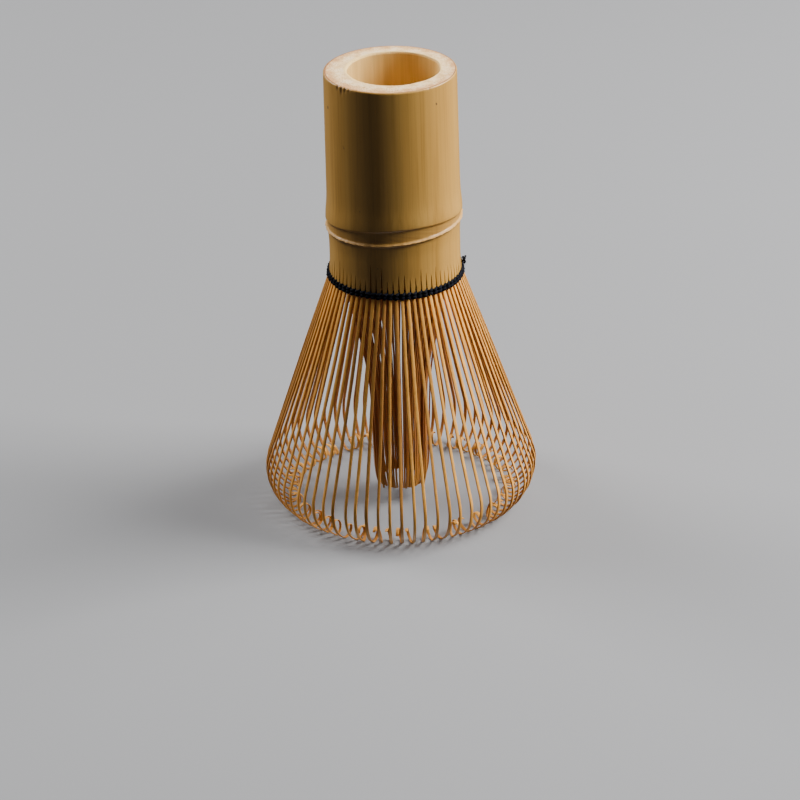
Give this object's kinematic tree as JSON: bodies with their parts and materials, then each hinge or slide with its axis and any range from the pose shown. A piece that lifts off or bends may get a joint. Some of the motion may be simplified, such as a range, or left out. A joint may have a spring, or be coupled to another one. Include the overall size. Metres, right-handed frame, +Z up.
{
  "type": "bamboo tea whisk",
  "caption": "Bamboo tea whisk: a hollow culm handle split below its node into thin springy outer and inner tines, bound with dark thread.",
  "frame": {"origin": "on the whisk's axis, at the height of the lowest tine bends, which is the bottom centre of its box", "axes": "+Z up the handle to its cut end; +X and a little +Y towards the thin side of the culm wall, so the hollow lies off centre that way; the pictured side faces -Y"},
  "size_m": [0.0608, 0.061, 0.1024],
  "materials": {
    "culm_bamboo": "satin",
    "outer_tine_bamboo": "satin",
    "inner_tine_bamboo": "satin",
    "binding_thread": "matte"
  },
  "bodies": {
    "handle": {"handle": "culm_bamboo", "thread_upper_row": "binding_thread", "thread_lower_row": "binding_thread", "thread_inner_row": "binding_thread", "thread_knot": "binding_thread"},
    "outer_tines_01": {"outer_tines_01": "outer_tine_bamboo"},
    "outer_tines_02": {"outer_tines_02": "outer_tine_bamboo"},
    "outer_tines_03": {"outer_tines_03": "outer_tine_bamboo"},
    "outer_tines_04": {"outer_tines_04": "outer_tine_bamboo"},
    "outer_tines_05": {"outer_tines_05": "outer_tine_bamboo"},
    "outer_tines_06": {"outer_tines_06": "outer_tine_bamboo"},
    "outer_tines_07": {"outer_tines_07": "outer_tine_bamboo"},
    "outer_tines_08": {"outer_tines_08": "outer_tine_bamboo"},
    "outer_tines_09": {"outer_tines_09": "outer_tine_bamboo"},
    "outer_tines_10": {"outer_tines_10": "outer_tine_bamboo"},
    "outer_tines_11": {"outer_tines_11": "outer_tine_bamboo"},
    "outer_tines_12": {"outer_tines_12": "outer_tine_bamboo"},
    "outer_tines_13": {"outer_tines_13": "outer_tine_bamboo"},
    "outer_tines_14": {"outer_tines_14": "outer_tine_bamboo"},
    "outer_tines_15": {"outer_tines_15": "outer_tine_bamboo"},
    "outer_tines_16": {"outer_tines_16": "outer_tine_bamboo"},
    "outer_tines_17": {"outer_tines_17": "outer_tine_bamboo"},
    "outer_tines_18": {"outer_tines_18": "outer_tine_bamboo"},
    "outer_tines_19": {"outer_tines_19": "outer_tine_bamboo"},
    "outer_tines_20": {"outer_tines_20": "outer_tine_bamboo"},
    "outer_tines_21": {"outer_tines_21": "outer_tine_bamboo"},
    "outer_tines_22": {"outer_tines_22": "outer_tine_bamboo"},
    "outer_tines_23": {"outer_tines_23": "outer_tine_bamboo"},
    "outer_tines_24": {"outer_tines_24": "outer_tine_bamboo"},
    "inner_tines_01": {"inner_tines_01": "inner_tine_bamboo"},
    "inner_tines_02": {"inner_tines_02": "inner_tine_bamboo"},
    "inner_tines_03": {"inner_tines_03": "inner_tine_bamboo"},
    "inner_tines_04": {"inner_tines_04": "inner_tine_bamboo"},
    "inner_tines_05": {"inner_tines_05": "inner_tine_bamboo"},
    "inner_tines_06": {"inner_tines_06": "inner_tine_bamboo"},
    "inner_tines_07": {"inner_tines_07": "inner_tine_bamboo"},
    "inner_tines_08": {"inner_tines_08": "inner_tine_bamboo"},
    "inner_tines_09": {"inner_tines_09": "inner_tine_bamboo"},
    "inner_tines_10": {"inner_tines_10": "inner_tine_bamboo"},
    "inner_tines_11": {"inner_tines_11": "inner_tine_bamboo"},
    "inner_tines_12": {"inner_tines_12": "inner_tine_bamboo"},
    "inner_tines_13": {"inner_tines_13": "inner_tine_bamboo"},
    "inner_tines_14": {"inner_tines_14": "inner_tine_bamboo"},
    "inner_tines_15": {"inner_tines_15": "inner_tine_bamboo"},
    "inner_tines_16": {"inner_tines_16": "inner_tine_bamboo"},
    "inner_tines_17": {"inner_tines_17": "inner_tine_bamboo"},
    "inner_tines_18": {"inner_tines_18": "inner_tine_bamboo"},
    "inner_tines_19": {"inner_tines_19": "inner_tine_bamboo"},
    "inner_tines_20": {"inner_tines_20": "inner_tine_bamboo"},
    "inner_tines_21": {"inner_tines_21": "inner_tine_bamboo"},
    "inner_tines_22": {"inner_tines_22": "inner_tine_bamboo"},
    "inner_tines_23": {"inner_tines_23": "inner_tine_bamboo"},
    "inner_tines_24": {"inner_tines_24": "inner_tine_bamboo"}
  },
  "joints": [
    {"name": "outer_flex_01", "type": "hinge", "parent": "handle", "child": "outer_tines_01", "pos_m": [0.01415, 0.00124, 0.0555], "axis": [0.0872, -0.9962, 0], "range_deg": [-3, 8], "stiffness_Nm_per_rad": 0.009},
    {"name": "outer_flex_02", "type": "hinge", "parent": "handle", "child": "outer_tines_02", "pos_m": [0.01334, 0.00486, 0.0555], "axis": [0.342, -0.9397, 0], "range_deg": [-3, 8], "stiffness_Nm_per_rad": 0.009},
    {"name": "outer_flex_03", "type": "hinge", "parent": "handle", "child": "outer_tines_03", "pos_m": [0.01163, 0.00814, 0.0555], "axis": [0.5736, -0.8192, 0], "range_deg": [-3, 8], "stiffness_Nm_per_rad": 0.009},
    {"name": "outer_flex_04", "type": "hinge", "parent": "handle", "child": "outer_tines_04", "pos_m": [0.00913, 0.01088, 0.0555], "axis": [0.766, -0.6428, 0], "range_deg": [-3, 8], "stiffness_Nm_per_rad": 0.009},
    {"name": "outer_flex_05", "type": "hinge", "parent": "handle", "child": "outer_tines_05", "pos_m": [0.006, 0.01287, 0.0555], "axis": [0.9063, -0.4226, 0], "range_deg": [-3, 8], "stiffness_Nm_per_rad": 0.009},
    {"name": "outer_flex_06", "type": "hinge", "parent": "handle", "child": "outer_tines_06", "pos_m": [0.00247, 0.01398, 0.0555], "axis": [0.9848, -0.1736, 0], "range_deg": [-3, 8], "stiffness_Nm_per_rad": 0.009},
    {"name": "outer_flex_07", "type": "hinge", "parent": "handle", "child": "outer_tines_07", "pos_m": [-0.00124, 0.01415, 0.0555], "axis": [0.9962, 0.0872, 0], "range_deg": [-3, 8], "stiffness_Nm_per_rad": 0.009},
    {"name": "outer_flex_08", "type": "hinge", "parent": "handle", "child": "outer_tines_08", "pos_m": [-0.00486, 0.01334, 0.0555], "axis": [0.9397, 0.342, 0], "range_deg": [-3, 8], "stiffness_Nm_per_rad": 0.009},
    {"name": "outer_flex_09", "type": "hinge", "parent": "handle", "child": "outer_tines_09", "pos_m": [-0.00814, 0.01163, 0.0555], "axis": [0.8192, 0.5736, 0], "range_deg": [-3, 8], "stiffness_Nm_per_rad": 0.009},
    {"name": "outer_flex_10", "type": "hinge", "parent": "handle", "child": "outer_tines_10", "pos_m": [-0.01088, 0.00913, 0.0555], "axis": [0.6428, 0.766, 0], "range_deg": [-3, 8], "stiffness_Nm_per_rad": 0.009},
    {"name": "outer_flex_11", "type": "hinge", "parent": "handle", "child": "outer_tines_11", "pos_m": [-0.01287, 0.006, 0.0555], "axis": [0.4226, 0.9063, 0], "range_deg": [-3, 8], "stiffness_Nm_per_rad": 0.009},
    {"name": "outer_flex_12", "type": "hinge", "parent": "handle", "child": "outer_tines_12", "pos_m": [-0.01398, 0.00247, 0.0555], "axis": [0.1736, 0.9848, 0], "range_deg": [-3, 8], "stiffness_Nm_per_rad": 0.009},
    {"name": "outer_flex_13", "type": "hinge", "parent": "handle", "child": "outer_tines_13", "pos_m": [-0.01415, -0.00124, 0.0555], "axis": [-0.0872, 0.9962, 0], "range_deg": [-3, 8], "stiffness_Nm_per_rad": 0.009},
    {"name": "outer_flex_14", "type": "hinge", "parent": "handle", "child": "outer_tines_14", "pos_m": [-0.01334, -0.00486, 0.0555], "axis": [-0.342, 0.9397, 0], "range_deg": [-3, 8], "stiffness_Nm_per_rad": 0.009},
    {"name": "outer_flex_15", "type": "hinge", "parent": "handle", "child": "outer_tines_15", "pos_m": [-0.01163, -0.00814, 0.0555], "axis": [-0.5736, 0.8192, 0], "range_deg": [-3, 8], "stiffness_Nm_per_rad": 0.009},
    {"name": "outer_flex_16", "type": "hinge", "parent": "handle", "child": "outer_tines_16", "pos_m": [-0.00913, -0.01088, 0.0555], "axis": [-0.766, 0.6428, 0], "range_deg": [-3, 8], "stiffness_Nm_per_rad": 0.009},
    {"name": "outer_flex_17", "type": "hinge", "parent": "handle", "child": "outer_tines_17", "pos_m": [-0.006, -0.01287, 0.0555], "axis": [-0.9063, 0.4226, 0], "range_deg": [-3, 8], "stiffness_Nm_per_rad": 0.009},
    {"name": "outer_flex_18", "type": "hinge", "parent": "handle", "child": "outer_tines_18", "pos_m": [-0.00247, -0.01398, 0.0555], "axis": [-0.9848, 0.1736, 0], "range_deg": [-3, 8], "stiffness_Nm_per_rad": 0.009},
    {"name": "outer_flex_19", "type": "hinge", "parent": "handle", "child": "outer_tines_19", "pos_m": [0.00124, -0.01415, 0.0555], "axis": [-0.9962, -0.0872, 0], "range_deg": [-3, 8], "stiffness_Nm_per_rad": 0.009},
    {"name": "outer_flex_20", "type": "hinge", "parent": "handle", "child": "outer_tines_20", "pos_m": [0.00486, -0.01334, 0.0555], "axis": [-0.9397, -0.342, 0], "range_deg": [-3, 8], "stiffness_Nm_per_rad": 0.009},
    {"name": "outer_flex_21", "type": "hinge", "parent": "handle", "child": "outer_tines_21", "pos_m": [0.00814, -0.01163, 0.0555], "axis": [-0.8192, -0.5736, 0], "range_deg": [-3, 8], "stiffness_Nm_per_rad": 0.009},
    {"name": "outer_flex_22", "type": "hinge", "parent": "handle", "child": "outer_tines_22", "pos_m": [0.01088, -0.00913, 0.0555], "axis": [-0.6428, -0.766, 0], "range_deg": [-3, 8], "stiffness_Nm_per_rad": 0.009},
    {"name": "outer_flex_23", "type": "hinge", "parent": "handle", "child": "outer_tines_23", "pos_m": [0.01287, -0.006, 0.0555], "axis": [-0.4226, -0.9063, 0], "range_deg": [-3, 8], "stiffness_Nm_per_rad": 0.009},
    {"name": "outer_flex_24", "type": "hinge", "parent": "handle", "child": "outer_tines_24", "pos_m": [0.01398, -0.00247, 0.0555], "axis": [-0.1736, -0.9848, 0], "range_deg": [-3, 8], "stiffness_Nm_per_rad": 0.009},
    {"name": "inner_flex_01", "type": "hinge", "parent": "handle", "child": "inner_tines_01", "pos_m": [0.0119, 0.00157, 0.0555], "axis": [0.1305, -0.9914, 0], "range_deg": [-0.5, 8], "stiffness_Nm_per_rad": 0.003},
    {"name": "inner_flex_02", "type": "hinge", "parent": "handle", "child": "inner_tines_02", "pos_m": [0.01109, 0.00459, 0.0555], "axis": [0.3827, -0.9239, 0], "range_deg": [-0.5, 8], "stiffness_Nm_per_rad": 0.003},
    {"name": "inner_flex_03", "type": "hinge", "parent": "handle", "child": "inner_tines_03", "pos_m": [0.00952, 0.0073, 0.0555], "axis": [0.6088, -0.7934, 0], "range_deg": [-0.5, 8], "stiffness_Nm_per_rad": 0.003},
    {"name": "inner_flex_04", "type": "hinge", "parent": "handle", "child": "inner_tines_04", "pos_m": [0.0073, 0.00952, 0.0555], "axis": [0.7934, -0.6088, 0], "range_deg": [-0.5, 8], "stiffness_Nm_per_rad": 0.003},
    {"name": "inner_flex_05", "type": "hinge", "parent": "handle", "child": "inner_tines_05", "pos_m": [0.00459, 0.01109, 0.0555], "axis": [0.9239, -0.3827, 0], "range_deg": [-0.5, 8], "stiffness_Nm_per_rad": 0.003},
    {"name": "inner_flex_06", "type": "hinge", "parent": "handle", "child": "inner_tines_06", "pos_m": [0.00157, 0.0119, 0.0555], "axis": [0.9914, -0.1305, 0], "range_deg": [-0.5, 8], "stiffness_Nm_per_rad": 0.003},
    {"name": "inner_flex_07", "type": "hinge", "parent": "handle", "child": "inner_tines_07", "pos_m": [-0.00157, 0.0119, 0.0555], "axis": [0.9914, 0.1305, 0], "range_deg": [-0.5, 8], "stiffness_Nm_per_rad": 0.003},
    {"name": "inner_flex_08", "type": "hinge", "parent": "handle", "child": "inner_tines_08", "pos_m": [-0.00459, 0.01109, 0.0555], "axis": [0.9239, 0.3827, 0], "range_deg": [-0.5, 8], "stiffness_Nm_per_rad": 0.003},
    {"name": "inner_flex_09", "type": "hinge", "parent": "handle", "child": "inner_tines_09", "pos_m": [-0.0073, 0.00952, 0.0555], "axis": [0.7934, 0.6088, 0], "range_deg": [-0.5, 8], "stiffness_Nm_per_rad": 0.003},
    {"name": "inner_flex_10", "type": "hinge", "parent": "handle", "child": "inner_tines_10", "pos_m": [-0.00952, 0.0073, 0.0555], "axis": [0.6088, 0.7934, 0], "range_deg": [-0.5, 8], "stiffness_Nm_per_rad": 0.003},
    {"name": "inner_flex_11", "type": "hinge", "parent": "handle", "child": "inner_tines_11", "pos_m": [-0.01109, 0.00459, 0.0555], "axis": [0.3827, 0.9239, 0], "range_deg": [-0.5, 8], "stiffness_Nm_per_rad": 0.003},
    {"name": "inner_flex_12", "type": "hinge", "parent": "handle", "child": "inner_tines_12", "pos_m": [-0.0119, 0.00157, 0.0555], "axis": [0.1305, 0.9914, 0], "range_deg": [-0.5, 8], "stiffness_Nm_per_rad": 0.003},
    {"name": "inner_flex_13", "type": "hinge", "parent": "handle", "child": "inner_tines_13", "pos_m": [-0.0119, -0.00157, 0.0555], "axis": [-0.1305, 0.9914, 0], "range_deg": [-0.5, 8], "stiffness_Nm_per_rad": 0.003},
    {"name": "inner_flex_14", "type": "hinge", "parent": "handle", "child": "inner_tines_14", "pos_m": [-0.01109, -0.00459, 0.0555], "axis": [-0.3827, 0.9239, 0], "range_deg": [-0.5, 8], "stiffness_Nm_per_rad": 0.003},
    {"name": "inner_flex_15", "type": "hinge", "parent": "handle", "child": "inner_tines_15", "pos_m": [-0.00952, -0.0073, 0.0555], "axis": [-0.6088, 0.7934, 0], "range_deg": [-0.5, 8], "stiffness_Nm_per_rad": 0.003},
    {"name": "inner_flex_16", "type": "hinge", "parent": "handle", "child": "inner_tines_16", "pos_m": [-0.0073, -0.00952, 0.0555], "axis": [-0.7934, 0.6088, 0], "range_deg": [-0.5, 8], "stiffness_Nm_per_rad": 0.003},
    {"name": "inner_flex_17", "type": "hinge", "parent": "handle", "child": "inner_tines_17", "pos_m": [-0.00459, -0.01109, 0.0555], "axis": [-0.9239, 0.3827, 0], "range_deg": [-0.5, 8], "stiffness_Nm_per_rad": 0.003},
    {"name": "inner_flex_18", "type": "hinge", "parent": "handle", "child": "inner_tines_18", "pos_m": [-0.00157, -0.0119, 0.0555], "axis": [-0.9914, 0.1305, 0], "range_deg": [-0.5, 8], "stiffness_Nm_per_rad": 0.003},
    {"name": "inner_flex_19", "type": "hinge", "parent": "handle", "child": "inner_tines_19", "pos_m": [0.00157, -0.0119, 0.0555], "axis": [-0.9914, -0.1305, 0], "range_deg": [-0.5, 8], "stiffness_Nm_per_rad": 0.003},
    {"name": "inner_flex_20", "type": "hinge", "parent": "handle", "child": "inner_tines_20", "pos_m": [0.00459, -0.01109, 0.0555], "axis": [-0.9239, -0.3827, 0], "range_deg": [-0.5, 8], "stiffness_Nm_per_rad": 0.003},
    {"name": "inner_flex_21", "type": "hinge", "parent": "handle", "child": "inner_tines_21", "pos_m": [0.0073, -0.00952, 0.0555], "axis": [-0.7934, -0.6088, 0], "range_deg": [-0.5, 8], "stiffness_Nm_per_rad": 0.003},
    {"name": "inner_flex_22", "type": "hinge", "parent": "handle", "child": "inner_tines_22", "pos_m": [0.00952, -0.0073, 0.0555], "axis": [-0.6088, -0.7934, 0], "range_deg": [-0.5, 8], "stiffness_Nm_per_rad": 0.003},
    {"name": "inner_flex_23", "type": "hinge", "parent": "handle", "child": "inner_tines_23", "pos_m": [0.01109, -0.00459, 0.0555], "axis": [-0.3827, -0.9239, 0], "range_deg": [-0.5, 8], "stiffness_Nm_per_rad": 0.003},
    {"name": "inner_flex_24", "type": "hinge", "parent": "handle", "child": "inner_tines_24", "pos_m": [0.0119, -0.00157, 0.0555], "axis": [-0.1305, -0.9914, 0], "range_deg": [-0.5, 8], "stiffness_Nm_per_rad": 0.003}
  ]
}
